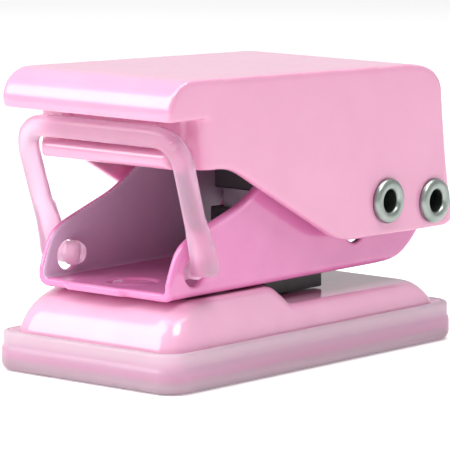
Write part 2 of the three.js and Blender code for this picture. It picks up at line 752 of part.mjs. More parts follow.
place('handle_shell', pinkPlastic, handleShell());
place('pivot_rivet', brightSteel, tubularRivet(pivot));
place('lever_rivet', brightSteel, tubularRivet(lever));
place('press_lever', toolSteel, pressLever());
for (const [name, side] of [['left', -1], ['right', 1]]) {
  place(`return_spring_${name}`, brightSteel, returnSpring(side));
  place(`pivot_washer_${name}`, blackPlastic, pivotWasher(side));
}

place('latch_loop', frostedPlastic, latchLoop());

punch.position.y = -middleOfLength;

const cornerRounder = new THREE.Group();
cornerRounder.add(punch);

export default cornerRounder;
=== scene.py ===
"""Corner rounder: the looks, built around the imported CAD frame.

Metres, +Z up. The sizes below are in millimetres and measured from the middle of the tray, as the
part's own drawing is; place() turns them into the frame's metres.
"""
import json
import math

import bmesh
import bpy
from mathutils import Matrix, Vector


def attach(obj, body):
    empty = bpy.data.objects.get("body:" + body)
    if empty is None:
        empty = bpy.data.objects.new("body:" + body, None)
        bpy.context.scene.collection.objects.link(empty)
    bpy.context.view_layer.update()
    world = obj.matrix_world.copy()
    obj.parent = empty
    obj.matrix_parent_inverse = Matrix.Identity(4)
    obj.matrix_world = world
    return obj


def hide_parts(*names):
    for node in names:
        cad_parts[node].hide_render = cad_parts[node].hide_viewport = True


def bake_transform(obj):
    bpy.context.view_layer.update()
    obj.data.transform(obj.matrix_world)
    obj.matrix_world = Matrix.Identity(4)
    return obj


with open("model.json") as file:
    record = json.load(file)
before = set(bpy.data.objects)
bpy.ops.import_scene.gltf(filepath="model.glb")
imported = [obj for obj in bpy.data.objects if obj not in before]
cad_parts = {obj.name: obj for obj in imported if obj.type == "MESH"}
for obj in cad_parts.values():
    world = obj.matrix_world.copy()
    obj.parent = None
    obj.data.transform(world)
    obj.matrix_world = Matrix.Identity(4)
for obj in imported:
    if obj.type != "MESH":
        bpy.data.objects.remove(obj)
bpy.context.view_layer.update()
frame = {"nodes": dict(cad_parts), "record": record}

MM = 0.001
MIDDLE_Y = 0.6            # the frame's origin is this far behind the middle of the tray
SHEET = 1.1               # pressed steel of the frame and base
SHELL = 1.6               # moulded wall of the handle
GAP = 0.3                 # room between pieces that move on each other
FAR = 60.0                # beyond the punch on every side, for tools that cut right through
SIDE = 25.0               # beyond both sides, for tools that cut across

HANDLE = {
    "half_width": 17.3,
    "front": -33.8,
    "rear": 36.2,
    "lip_bottom": 41.0,
    "nose_half_width": 13.3,
    "cheek_front": -26.0,
    "groove_floor": -26.8,
    "edge": 2.6,
}
CHANNEL = {"half_width": 13.6, "bottom": 13.2, "bend": 1.5, "front": -29.6, "floor_end": 22.0}
TRAY = {"half_width": 18.9, "half_length": 35.0, "height": 6.3, "corner": 4.0, "wall": 1.2, "floor": 1.2}
LATCH = {
    "y": -24.0,
    "z": 17.8,
    "bar_z": 38.3,
    "lean": -6.5,             # how far forward of the pegs the bar stands
    "splay": 0.5,             # how much wider the arms are at the bar
    "rod": 3.4,
    "depth": 2.8,
    "arm_x": 15.5,
    "bend": 5.2,
    "foot_bottom": 16.8,
    "foot_half_depth": 2.1,
}
PIVOT = (29.9, 22.9)      # (y, z) of the rivet that the handle turns on
LEVER = (18.0, 24.1)      # (y, z) of the rivet that carries the press lever
RIVET_BORE = 2.8          # radius of the holes that the tubular rivets go through
FRONT_RIVET = (0.0, -22.7)
DIE_RIVETS = ((-8.0, 15.2), (8.0, 15.2))
TABLE_TOP = 9.86          # a hair under the pan's table, so that the paint runs over it
GUIDE_FOOT = 14.6         # underside of the blade guide, just over the channel's floor


def place(x, y, z):
    """A drawing point in millimetres as a frame point in metres."""
    return Vector((x * MM, (y - MIDDLE_Y) * MM, z * MM))


# ---- outlines ---------------------------------------------------------------------------------

def between(a, b, c, d, t):
    """A value on the smooth curve through a, b, c and d, at the part t of the way from b to c."""
    bend = 2 * a - 5 * b + 4 * c - d
    twist = 3 * b - a - 3 * c + d
    return 0.5 * (2 * b + (c - a) * t + bend * t * t + twist * t ** 3)


class Outline:
    """A closed flat outline in millimetres, made of straight, curved and round stretches."""

    def __init__(self, u, v):
        self.points = [(u, v)]

    def line(self, u, v):
        self.points.append((u, v))
        return self

    def quad(self, cu, cv, u, v, steps=16):
        u0, v0 = self.points[-1]
        for i in range(1, steps + 1):
            t = i / steps
            a, b, c = (1 - t) ** 2, 2 * t * (1 - t), t * t
            self.points.append((a * u0 + b * cu + c * u, a * v0 + b * cv + c * v))
        return self

    def cubic(self, c1, c2, end, steps=20):
        start = self.points[-1]
        for i in range(1, steps + 1):
            t = i / steps
            weights = ((1 - t) ** 3, 3 * t * (1 - t) ** 2, 3 * t * t * (1 - t), t ** 3)
            corners = (start, c1, c2, end)
            self.points.append(tuple(sum(w * p[k] for w, p in zip(weights, corners)) for k in (0, 1)))
        return self

    def arc(self, cu, cv, radius, start, end, steps=24):
        for i in range(steps + 1):
            angle = math.radians(start + (end - start) * i / steps)
            self.points.append((cu + radius * math.cos(angle), cv + radius * math.sin(angle)))
        return self

    def through(self, knots, steps=6):
        """A smooth curve from the last point through all the knots."""
        line = [self.points[-1], *knots]
        padded = [line[0], *line, line[-1]]
        for a, b, c, d in zip(padded, padded[1:], padded[2:], padded[3:]):
            for i in range(1, steps + 1):
                t = i / steps
                self.points.append(tuple(between(a[k], b[k], c[k], d[k], t) for k in (0, 1)))
        return self

    def done(self):
        """The points with neighbours that coincide dropped."""
        kept = []
        for point in self.points:
            if not kept or math.dist(point, kept[-1]) > 1e-4:
                kept.append(point)
        if math.dist(kept[0], kept[-1]) < 1e-4:
            kept.pop()
        return kept


def rounded_rectangle(u0, v0, u1, v1, radius, steps=10):
    outline = Outline(u1 - radius, v0)
    outline.arc(u1 - radius, v0 + radius, radius, -90, 0, steps)
    outline.arc(u1 - radius, v1 - radius, radius, 0, 90, steps)
    outline.arc(u0 + radius, v1 - radius, radius, 90, 180, steps)
    outline.arc(u0 + radius, v0 + radius, radius, 180, 270, steps)
    return outline.done()


def capsule(ya, za, ra, yb, zb, rb, steps=24):
    """The outline swept by a circle that grows or shrinks from one centre to another."""
    along = math.degrees(math.atan2(zb - za, yb - ya))
    lean = math.degrees(math.acos((ra - rb) / math.hypot(yb - ya, zb - za)))
    first = math.radians(along + lean)
    outline = Outline(ya + ra * math.cos(first), za + ra * math.sin(first))
    outline.arc(ya, za, ra, along + lean, along - lean + 360, steps)
    outline.arc(yb, zb, rb, along - lean, along + lean, steps)
    return outline.done()


# ---- meshes -----------------------------------------------------------------------------------

def mesh_piece(name, bm):
    """Makes a smooth-shaded object of what has been built in bm."""
    bmesh.ops.recalc_face_normals(bm, faces=bm.faces)
    mesh = bpy.data.meshes.new(name)
    bm.to_mesh(mesh)
    bm.free()
    for polygon in mesh.polygons:
        polygon.use_smooth = True
    piece = bpy.data.objects.new(name, mesh)
    bpy.context.scene.collection.objects.link(piece)
    return piece


def skin(bm, rings, closed=False):
    """Quads between rings of the same length, with the ends closed or joined up."""
    loops = [[bm.verts.new(point) for point in ring] for ring in rings]
    pairs = list(zip(loops, loops[1:]))
    if closed:
        pairs.append((loops[-1], loops[0]))
    for lower, upper in pairs:
        for i in range(len(lower)):
            j = (i + 1) % len(lower)
            bm.faces.new((lower[i], lower[j], upper[j], upper[i]))
    if not closed:
        bm.faces.new(loops[0])
        bm.faces.new(loops[-1])


def prism(name, outline, x0, x1, rounding=0.0, segments=8):
    """A side outline in Y and Z, spread across the width, with its edges rounded where asked."""
    bm = bmesh.new()
    skin(bm, [[place(x, y, z) for y, z in outline] for x in (x0, x1)])
    if rounding:
        rims = [edge for edge in bm.edges if any(len(face.verts) > 4 for face in edge.link_faces)]
        bmesh.ops.bevel(bm, geom=rims, offset=rounding * MM, segments=segments, profile=0.5,
                        affect="EDGES", clamp_overlap=False)
    return mesh_piece(name, bm)


def slab(name, outline, z0, z1):
    """A plan outline in X and Y, raised between two heights."""
    bm = bmesh.new()
    skin(bm, [[place(x, y, z) for x, y in outline] for z in (z0, z1)])
    return mesh_piece(name, bm)


def block(name, low, high):
    (x0, y0, z0), (x1, y1, z1) = low, high
    return slab(name, [(x0, y0), (x1, y0), (x1, y1), (x0, y1)], z0, z1)


def bar(name, half_width, front, rear, bottom, top):
    """A block as wide on one side of the middle as on the other."""
    return block(name, (-half_width, front, bottom), (half_width, rear, top))


def lathe(name, profile, centre, axis="z", sides=64, closed=False):
    """A turned piece. Profile points are [radius, distance along the axis], in millimetres."""
    bm = bmesh.new()
    rings = []
    for radius, along in profile:
        ring = []
        for i in range(sides):
            angle = 2 * math.pi * i / sides
            a, b = radius * math.cos(angle), radius * math.sin(angle)
            if axis == "z":
                ring.append(place(centre[0] + a, centre[1] + b, along))
            else:
                ring.append(place(along, centre[0] + a, centre[1] + b))
        rings.append(ring)
    skin(bm, rings, closed=closed)
    return mesh_piece(name, bm)


def stack(name, sections, steps=10):
    """Rounded rectangles stacked one above the other. Each is (z, half width, front, rear, radius)."""
    bm = bmesh.new()
    rings = []
    for z, x, front, rear, radius in sections:
        rings.append([place(u, v, z) for u, v in rounded_rectangle(-x, front, x, rear, radius, steps)])
    skin(bm, rings)
    return mesh_piece(name, bm)


def sweep(name, path, section, across=Vector((1, 0, 0))):
    """A section in millimetres swept along a path of frame points; its u side stays along `across`."""
    bm = bmesh.new()
    rings = []
    last = len(path) - 1
    for i, point in enumerate(path):
        tangent = (path[min(i + 1, last)] - path[max(i - 1, 0)]).normalized()
        side = (across - tangent * across.dot(tangent)).normalized()
        other = tangent.cross(side)
        rings.append([point + (side * u + other * v) * MM for u, v in section])
    skin(bm, rings)
    return mesh_piece(name, bm)


def circle(radius, sides):
    angles = [2 * math.pi * i / sides for i in range(sides)]
    return [(radius * math.cos(angle), radius * math.sin(angle)) for angle in angles]


def settle(piece):
    """Makes the piece's modifiers part of its mesh."""
    evaluated = piece.evaluated_get(bpy.context.evaluated_depsgraph_get())
    mesh = bpy.data.meshes.new_from_object(evaluated)
    piece.modifiers.clear()
    piece.data = mesh


def combine(piece, tools, operation):
    """Adds, cuts or intersects the tools one after the other, and removes them."""
    for tool in tools:
        modifier = piece.modifiers.new("combine", "BOOLEAN")
        modifier.operation = operation
        modifier.solver = "EXACT"
        modifier.object = tool
    bpy.context.view_layer.update()
    settle(piece)
    for tool in tools:
        bpy.data.objects.remove(tool)
    return piece


def cut(piece, *tools):
    return combine(piece, tools, "DIFFERENCE")


def common(piece, tool):
    return combine(piece, [tool], "INTERSECT")


def join(piece, *others):
    """Puts several pieces into one mesh; overlaps stay until fuse() makes one skin of them."""
    bm = bmesh.new()
    for part in (piece, *others):
        bm.from_mesh(part.data)
    bm.to_mesh(piece.data)
    bm.free()
    for other in others:
        bpy.data.objects.remove(other)
    return piece


def fuse(piece, voxel, passes):
    """One continuous skin with softened edges, as a moulding or a painted pressing has."""
    remesh = piece.modifiers.new("fuse", "REMESH")
    remesh.mode = "VOXEL"
    remesh.voxel_size = voxel * MM
    remesh.use_smooth_shade = True
    soften = piece.modifiers.new("soften", "SMOOTH")
    soften.factor = 0.5
    soften.iterations = passes
    bpy.context.view_layer.update()
    settle(piece)
    for polygon in piece.data.polygons:
        polygon.use_smooth = True
    return piece


def ease_edges(piece, width):
    """Small rounds on the sharp edges of a machined or moulded piece."""
    bevel = piece.modifiers.new("ease", "BEVEL")
    bevel.width = width * MM
    bevel.segments = 3
    bevel.limit_method = "ANGLE"
    bevel.angle_limit = math.radians(35)
    bevel.harden_normals = False
    bpy.context.view_layer.update()
    settle(piece)
    for polygon in piece.data.polygons:
        polygon.use_smooth = True
    shade = piece.modifiers.new("normals", "WEIGHTED_NORMAL")
    shade.keep_sharp = False
    bpy.context.view_layer.update()
    settle(piece)
    return piece


# ---- materials --------------------------------------------------------------------------------

class Nodes:
    """Short names for building one node material."""

    def __init__(self, name):
        self.material = bpy.data.materials.new(name)
        self.material.use_nodes = True
        self.tree = self.material.node_tree
        self.shader = next(node for node in self.tree.nodes if node.type == "BSDF_PRINCIPLED")
        coordinates = self.tree.nodes.new("ShaderNodeTexCoord")
        self.place = coordinates.outputs["Object"]

    def set(self, **values):
        for name, value in values.items():
            self.shader.inputs[name.replace("_", " ")].default_value = value

    def noise(self, scale, detail=3.0, stretch=None):
        place_in = self.place
        if stretch:
            mapping = self.tree.nodes.new("ShaderNodeMapping")
            mapping.inputs["Scale"].default_value = stretch
            self.tree.links.new(self.place, mapping.inputs["Vector"])
            place_in = mapping.outputs["Vector"]
        node = self.tree.nodes.new("ShaderNodeTexNoise")
        node.inputs["Scale"].default_value = scale
        node.inputs["Detail"].default_value = detail
        self.tree.links.new(place_in, node.inputs["Vector"])
        return node.outputs["Fac"]

    def ramp(self, value, *stops):
        node = self.tree.nodes.new("ShaderNodeValToRGB")
        ramp = node.color_ramp
        while len(ramp.elements) < len(stops):
            ramp.elements.new(0.5)
        for element, (position, color) in zip(ramp.elements, stops):
            element.position = position
            element.color = (*color, 1)
        self.tree.links.new(value, node.inputs["Fac"])
        return node.outputs["Color"]

    def spread(self, value, low, high):
        node = self.tree.nodes.new("ShaderNodeMapRange")
        node.inputs["To Min"].default_value = low
        node.inputs["To Max"].default_value = high
        self.tree.links.new(value, node.inputs["Value"])
        return node.outputs["Result"]

    def feed(self, socket, value):
        self.tree.links.new(value, self.shader.inputs[socket])

    def bump(self, height, strength, distance):
        node = self.tree.nodes.new("ShaderNodeBump")
        node.inputs["Strength"].default_value = strength
        node.inputs["Distance"].default_value = distance * MM
        self.tree.links.new(height, node.inputs["Height"])
        self.tree.links.new(node.outputs["Normal"], self.shader.inputs["Normal"])


def painted_steel(name, deep, pale):
    """Thick glossy pink paint: a faint ripple and slightly uneven colour."""
    n = Nodes(name)
    n.feed("Base Color", n.ramp(n.noise(140), (0.35, deep), (0.65, pale)))
    n.feed("Roughness", n.spread(n.noise(900), 0.14, 0.22))
    n.set(IOR=1.5, Coat_Weight=0.4, Coat_Roughness=0.06)
    n.bump(n.noise(450, 2), 0.12, 0.06)
    return n.material


def walls_painted_shade():
    """Painted shade inside the channel's walls: a greyer, duller lilac in place of the pink paint."""
    n = Nodes("walls_painted_shade")
    # The lilac stands in for the shade that falls inside the channel; it is painted shade, not a different
    # coat.
    n.feed("Base Color", n.ramp(n.noise(120), (0.3, (0.76, 0.56, 0.74)), (0.7, (0.82, 0.60, 0.80))))
    n.feed("Roughness", n.spread(n.noise(900), 0.3, 0.4))
    n.bump(n.noise(900, 4), 0.15, 0.04)
    return n.material


def glossy_moulding():
    """Pink moulded plastic with a little light scattered under the surface."""
    n = Nodes("pink_plastic")
    n.feed("Base Color", n.ramp(n.noise(90), (0.3, (0.765, 0.33, 0.51)), (0.7, (0.79, 0.355, 0.535))))
    n.feed("Roughness", n.spread(n.noise(1200), 0.17, 0.24))
    n.set(IOR=1.49, Specular_IOR_Level=0.7, Coat_Weight=0.4, Coat_Roughness=0.08)
    n.set(Subsurface_Weight=0.12, Subsurface_Scale=0.0012)
    n.bump(n.noise(700, 2), 0.08, 0.05)
    return n.material


def frosted_moulding():
    """Clouded plastic that light comes through: the latch loop."""
    n = Nodes("frosted_plastic")
    n.feed("Base Color", n.ramp(n.noise(160), (0.3, (0.96, 0.62, 0.80)), (0.7, (0.98, 0.67, 0.84))))
    n.feed("Roughness", n.spread(n.noise(1500), 0.28, 0.38))
    n.set(IOR=1.46, Transmission_Weight=0.75, Subsurface_Weight=0.2, Subsurface_Scale=0.002)
    n.bump(n.noise(1100, 3), 0.12, 0.05)
    return n.material


def tray_painted_light():
    """The same plastic in the tray, coloured by height: a painted highlight at the rim, the pan's pink
    painted in where it would show through, greyer at the foot.
    """
    n = Nodes("tray_plastic_painted_light")
    split = n.tree.nodes.new("ShaderNodeSeparateXYZ")
    n.tree.links.new(n.place, split.inputs["Vector"])
    height = n.tree.nodes.new("ShaderNodeMapRange")
    height.inputs["From Min"].default_value = 0.0
    height.inputs["From Max"].default_value = TRAY["height"] * MM
    n.tree.links.new(split.outputs["Z"], height.inputs["Value"])
    # Colour by height: rim is a painted highlight, pan and wall paint in the pan as if seen through, foot
    # and solid are greyer towards the bottom.
    foot, solid = (0.0, (0.58, 0.43, 0.50)), (0.28, (0.76, 0.52, 0.64))
    pan, wall, rim = (0.4, (0.89, 0.49, 0.70)), (0.6, (0.93, 0.62, 0.79)), (0.82, (0.96, 0.77, 0.87))
    n.feed("Base Color", n.ramp(height.outputs["Result"], foot, solid, pan, wall, rim))
    n.feed("Roughness", n.spread(n.noise(1500), 0.26, 0.36))
    n.set(IOR=1.46, Transmission_Weight=0.6, Subsurface_Weight=0.2, Subsurface_Scale=0.002)
    n.bump(n.noise(1100, 3), 0.12, 0.05)
    return n.material


def black_moulding():
    """Dull black plastic, a little grainy."""
    n = Nodes("black_plastic")
    n.feed("Base Color", n.ramp(n.noise(500), (0.3, (0.012, 0.012, 0.014)), (0.7, (0.022, 0.022, 0.025))))
    n.feed("Roughness", n.spread(n.noise(900), 0.35, 0.5))
    n.bump(n.noise(1600, 4), 0.3, 0.04)
    return n.material


def plated_steel():
    """Bright nickel with fine turning marks."""
    n = Nodes("bright_steel")
    n.feed("Base Color", n.ramp(n.noise(400), (0.3, (0.27, 0.31, 0.285)), (0.7, (0.37, 0.41, 0.38))))
    n.feed("Roughness", n.spread(n.noise(1500, 4), 0.22, 0.38))
    n.set(Metallic=1.0)
    n.bump(n.noise(1800, 4), 0.15, 0.03)
    return n.material


def tool_steel():
    """Ground steel with the grinding marks running up and down."""
    n = Nodes("tool_steel")
    upright = (1, 1, 0.08)
    n.feed("Base Color", n.ramp(n.noise(300), (0.3, (0.24, 0.245, 0.26)), (0.7, (0.36, 0.365, 0.38))))
    n.feed("Roughness", n.spread(n.noise(2500, 4, stretch=upright), 0.22, 0.4))
    n.set(Metallic=1.0)
    n.bump(n.noise(2500, 4, stretch=upright), 0.2, 0.03)
    return n.material


MATERIALS = {
    "pink_paint": painted_steel("pink_paint", (0.735, 0.215, 0.475), (0.765, 0.24, 0.505)),
    "pink_plastic": glossy_moulding(),
    "frosted_plastic": frosted_moulding(),
    "black_plastic": black_moulding(),
    "bright_steel": plated_steel(),
    "tool_steel": tool_steel(),
}


def dress(piece, slot, body, *nodes, finish=None):
    """Paints a finished piece, puts it on its body and lets it stand for its CAD nodes."""
    piece.data.materials.clear()
    piece.data.materials.append(finish or MATERIALS[slot])
    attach(piece, body)
    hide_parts(*nodes)
    return piece


# ---- chip tray --------------------------------------------------------------------------------

def tray_piece():
    """A round foot, a wall that leans in a little from its widest line, and a round rim."""
    half_width, half_length, height = TRAY["half_width"], TRAY["half_length"], TRAY["height"]
    corner, wall, floor = TRAY["corner"], TRAY["wall"], TRAY["floor"]
    foot, widest, taper, lean, rim = 1.5, 3.2, 1.1, 0.3, 0.6
    ledge_top, ledge_width = 1.9, 1.2

    def level(z, inset, radius):
        return (z, half_width - inset, inset - half_length, half_length - inset, radius)

    sections = []
    for i in range(9):
        turn = math.radians(90 * i / 8)
        inset = foot * (1 - math.sin(turn))
        sections.append(level(foot * (1 - math.cos(turn)), inset, corner - inset))
    for i in range(7):
        turn = math.radians(180 * i / 6)
        inset = lean * (1 - math.cos(turn)) / 2
        sections.append(level(widest + taper * i / 6, inset, corner - inset))
    for i in range(7):
        turn = math.radians(90 * i / 6)
        inset = lean + rim * (1 - math.cos(turn))
        sections.append(level(height - rim + rim * math.sin(turn), inset, corner - inset))

    # Down the inside, past the ledge that the pan stands on, with every corner eased a little.
    inner = corner - wall
    ledge_edge = wall + ledge_width
    rim_ease = 0.2
    sections.append(level(height, wall - rim_ease, inner + rim_ease))
    sections.append(level(height - 0.25, wall, inner))
    sections.append(level(ledge_top + 0.2, wall + 0.05, inner))
    sections.append(level(ledge_top, wall + 0.25, inner))
    sections.append(level(ledge_top, ledge_edge - 0.15, inner))
    sections.append(level(ledge_top - 0.15, ledge_edge, inner))
    sections.append(level(floor + 0.2, ledge_edge + 0.05, inner))
    sections.append(level(floor, ledge_edge + 0.3, inner))
    return stack("chip_tray_shell", sections, 14)


# ---- base -------------------------------------------------------------------------------------

# Levels of the pressing, each (z, half width, front, rear, corner radius). The rear of the raised part
# draws in as it rises, which makes the slope down to the table.
TABLE = (
    (2.2, 17.2, -20, 32.6, 4),
    (6, 17.1, -20, 32.5, 4),
    (7.6, 16.9, -20, 31.4, 4),
    (8.8, 16.4, -20, 30.1, 4),
    (9.6, 15.7, -20, 28.8, 3.6),
    (9.9, 15, -20, 27.8, 3.2),
)
RAISED = (
    (2.2, 17.2, -32.9, 2, 4),
    (6, 17.1, -32.8, 2, 4),
    (7.4, 16.9, -32.3, 1.5, 4),
    (8.7, 16.5, -31.8, 0.5, 4),
    (9.9, 16, -31, -1.9, 4),
    (10.9, 15.5, -30, -2.8, 4),
    (11.8, 14.9, -28.6, -3.6, 4),
    (12.5, 14.3, -27, -4.4, 3.6),
    (12.9, 13.4, -25, -5.6, 3),
)


def finer(sections, steps=4):
    """The same stack with smooth in-between sections."""
    padded = [sections[0], *sections, sections[-1]]
    result = [sections[0]]
    for neighbours in zip(padded, padded[1:], padded[2:], padded[3:]):
        for i in range(1, steps + 1):
            result.append(tuple(between(*values, i / steps) for values in zip(*neighbours)))
    return result


def inside_of(sections):
    """The hollow under a stack, one sheet thickness in and open below."""
    below = 1.0
    inner = [(z - SHEET, x - SHEET, front + SHEET, rear - SHEET, radius - SHEET / 2)
             for z, x, front, rear, radius in sections]
    return [(below, *inner[0][1:]), *inner[1:]]


def pan_piece():
    """The pressing: a table behind a raised front, hollow below, with an opening for the blade."""
    table, raised = finer(TABLE), finer(RAISED)
    pan = fuse(join(stack("pan_skin", table), stack("raised_skin", raised)), 0.3, 0)
    opening = bar("seat_tool", half_width=6.5, front=0.2, rear=13.7, bottom=5, top=12)
    hollows = [stack("table_tool", inside_of(table)), stack("raised_tool", inside_of(raised))]
    return fuse(cut(pan, *hollows, opening), 0.28, 8)


# ---- channel frame ----------------------------------------------------------------------------

def wall_outline():
    """Side view of the channel: low in front, a curve up to the high walls, round behind the pivot."""
    front, bottom = CHANNEL["front"], CHANNEL["bottom"]
    y, z = PIVOT
    outline = Outline(front, bottom).line(CHANNEL["floor_end"], bottom)
    outline.quad(28, 13.6, y + 2.6, z - 3)
    outline.arc(y, z, 4, -45, 90)
    outline.quad(26, 28.5, 25, 33)
    outline.quad(24.4, 36, 21, 36)
    outline.line(5, 36)
    outline.through([(0, 34.9), (-5, 31.7), (-9.1, 28.8), (-13.4, 26.4), (-19.9, 24.2), (-25.2, 22.4),
                     (-27.9, 20.2), (front - 0.2, bottom + 2.3)])
    return outline.done()


def fold_tool(name, half_width, bottom, bend, y0, y1):
    """A U-shaped bar along the length, with the fold's radius at the bottom."""
    outline = Outline(half_width, FAR)
    outline.line(-half_width, FAR)
    outline.arc(-half_width + bend, bottom + bend, bend, 180, 270, 12)
    outline.arc(half_width - bend, bottom + bend, bend, 270, 360, 12)
    bm = bmesh.new()
    skin(bm, [[place(x, y, z) for x, z in outline.done()] for y in (y0, y1)])
    return mesh_piece(name, bm)


def edge_bead():
    """Paint gathers on the cut edge in front and makes a round bead of it, with a tab that stands proud."""
    radius, bend, proud = 0.68, 0.95, 0.5
    x = CHANNEL["half_width"] - SHEET / 2
    y = CHANNEL["front"] + 0.6
    floor = CHANNEL["bottom"] + SHEET / 2
    slope = Outline(-5.2, 31.0)
    slope.through([(-9.3, 28.2), (-13.5, 25.9), (-20.0, 23.7), (-24.9, 21.9), (-27.3, 19.9),
                   (y - 0.1, bend + 15)])
    near = [place(x, v, w) for v, w in slope.done()]
    for i in range(7):
        turn = math.radians(-90 * i / 6)
        near.append(place(x - bend + bend * math.cos(turn), y, floor + bend + bend * math.sin(turn)))
    far = [Vector((-point.x, point.y, point.z)) for point in reversed(near)]
    tab_line = (
        (8, 0), (4.7, 0), (4.2, proud / 2), (3.6, proud), (0, proud),
        (-7, proud), (-7.6, proud / 2), (-8.1, 0), (-10, 0),
    )
    tab = [place(u, y - forward, floor) for u, forward in tab_line]
    skew = Vector((1, 0.5, -0.6)).normalized()
    return sweep("bead", near + tab + far, circle(radius, 16), across=skew)


def round_hole(name, centre, radius, sides=32):
    """A tool that drills right across, at a point in Y and Z."""
    return lathe(name, [(radius, -SIDE), (radius, SIDE)], centre, "x", sides)


def frame_piece():
    """The folded sheet with its openings, the tab in front and the bead of paint along the edge."""
    half_width, bottom, bend = CHANNEL["half_width"], CHANNEL["bottom"], CHANNEL["bend"]
    front, floor_end = CHANNEL["front"], CHANNEL["floor_end"]
    inside = half_width - SHEET
    floor_top = bottom + SHEET
    inside_bend = 0.7
    blank = prism("channel_sheet", wall_outline(), -half_width, half_width)
    blank = common(blank, fold_tool("fold_tool", half_width, bottom, bend, -FAR, FAR))
    tab_plan = rounded_rectangle(-7.5, front - 0.55, 4, front + 2, 0.45, 6)
    tab = slab("tab_tool", tab_plan, bottom, floor_top)

    # The lever rivet rises with the handle, so its opening runs from the closed place to the open one. A
    # narrower relief runs down and forward from it.
    lever_y, lever_z = LEVER
    travel_radius, back, up = 3, 0.7, 2.9
    relief_radius, relief_y, relief_z = 2.6, 14.6, 20.1
    hair = 0.01
    travel = capsule(lever_y, lever_z, travel_radius, lever_y + back, lever_z + up, travel_radius + hair)
    relief = capsule(relief_y, relief_z, relief_radius, lever_y, lever_z, relief_radius + hair)
    peg_hole, peg_drop = 2.35, 0.45
    below_floor, above_floor = 12, 16
    hole, dish_bottom, dish_rim = 2.4, 13.3, 4.1
    dish = [(0.01, below_floor), (hole, below_floor), (hole, dish_bottom),
            (dish_rim, 14.35), (dish_rim, above_floor), (0.01, above_floor)]
    tools = [
        fold_tool("inside_tool", inside, floor_top, inside_bend, -FAR, floor_end),
        bar("rear_tool", half_width=inside, front=floor_end - 0.1, rear=FAR, bottom=0, top=FAR),
        prism("travel_tool", travel, -SIDE, SIDE),
        prism("relief_tool", relief, -SIDE, SIDE),
        round_hole("peg_tool", (LATCH["y"], LATCH["z"] - peg_drop), peg_hole, 40),
        round_hole("pivot_tool", PIVOT, RIVET_BORE),
        lathe("dish_tool", dish, FRONT_RIVET),
        slab("blade_tool", blade_outline(GAP), below_floor, above_floor),
    ]
    return fuse(join(cut(blank, *tools), tab, edge_bead()), 0.24, 4)


def paint_shade_inside(piece):
    """Gives the inner faces of the two walls the painted shade of the channel's inside."""
    piece.data.materials.append(walls_painted_shade())
    middle_of_wall = (CHANNEL["half_width"] - SHEET / 2) * MM
    for polygon in piece.data.polygons:
        x = polygon.center.x
        faces_inward = polygon.normal.x * x < -0.5 * abs(x)
        if abs(x) < middle_of_wall and faces_inward:
            polygon.material_index = 1


def blade_outline(clearance):
    """Blade seen from above: square in front, with the hollow 5 mm arc behind."""
    corner_radius, apex_y, half_width, front_y = 5.0, 6.0, 3.8, 2.8
    x = half_width + clearance
    front = front_y - clearance
    centre = apex_y + corner_radius * math.sqrt(2)
    radius = corner_radius - clearance
    shoulder = apex_y + corner_radius / math.sqrt(2) + clearance
    sweep_angle = math.degrees(math.acos((centre - shoulder) / radius))
    outline = Outline(-x, front).line(x, front).line(x, shoulder)
    outline.arc(0, centre, radius, -90 + sweep_angle, -90 - sweep_angle, 16)
    outline.line(-x, shoulder)
    return outline.done()


# ---- handle -----------------------------------------------------------------------------------

def handle_outline():
    """Side view of the handle, from under the lip over the top and back along the sloping lower edge."""
    front, rear = HANDLE["front"], HANDLE["rear"]
    outline = Outline(front, 33.3).line(front, HANDLE["lip_bottom"] + 1.2)
    outline.cubic((front, 44.4), (-32, 47), (-28, 47))
    outline.line(23.5, 45.35)
    outline.quad(31.2, 45, 32.2, 41)
    outline.line(rear, 22.5)
    outline.quad(rear + 0.2, 18.6, 33, 18.5)
    outline.line(10.5, 18.7)
    outline.quad(6.4, 18.8, 4, 20.2)
    outline.line(-15.4, 30.7)
    outline.quad(-19, 32.9, -22, 33)
    return outline.done()


def handle_room(half_width, front):
    """The hollow of the handle, open below; its roof falls slightly to the rear, as the top does."""
    below, fall, rear = 10, 0.034, 34.7
    roof_y, roof_z = -25.2, 45.25
    outline = Outline(front, below).line(front, roof_z + (front - roof_y) * -fall)
    outline.line(23.3, 43.75).line(28.9, 42.6).line(30.6, 40.6).line(rear, 22).line(rear, below)
    return prism("room_tool", outline.done(), -half_width, half_width, 0.9, 4)


def beside_nose(side):
    """What is cut away on one side of the nose, back to the rounded front edge of the cheek."""
    half_width, nose, lip_bottom = HANDLE["half_width"], HANDLE["nose_half_width"], HANDLE["lip_bottom"]
    cheek_front = HANDLE["cheek_front"]
    radius, ahead, outside = 2.2, -45, SIDE - 1
    plan = Outline(side * nose, ahead).line(side * outside, ahead)
    plan.line(side * outside, cheek_front + radius).line(side * half_width, cheek_front + radius)
    for i in range(1, 13):
        turn = math.radians(90 * i / 12)
        x = half_width - radius + radius * math.cos(turn)
        plan.line(side * x, cheek_front + radius - radius * math.sin(turn))
    plan.line(side * nose, cheek_front)
    return slab("cheek_tool", plan.done(), 20, lip_bottom)


def under_lip_ledge():
    """Bar across the nose with a round front, which the loop hooks over."""
    nose, groove_floor = HANDLE["nose_half_width"], HANDLE["groove_floor"]
    y, z, radius = -28.4, 34.7, 1.5
    plan = rounded_rectangle(-nose, y - radius, nose, groove_floor + 3, 1.4)
    round_front = prism("ledge_tool", capsule(y, z, radius, y + 6, z, radius + 0.01), -SIDE, SIDE)
    return common(slab("ledge", plan, z - radius, z + radius), round_front)


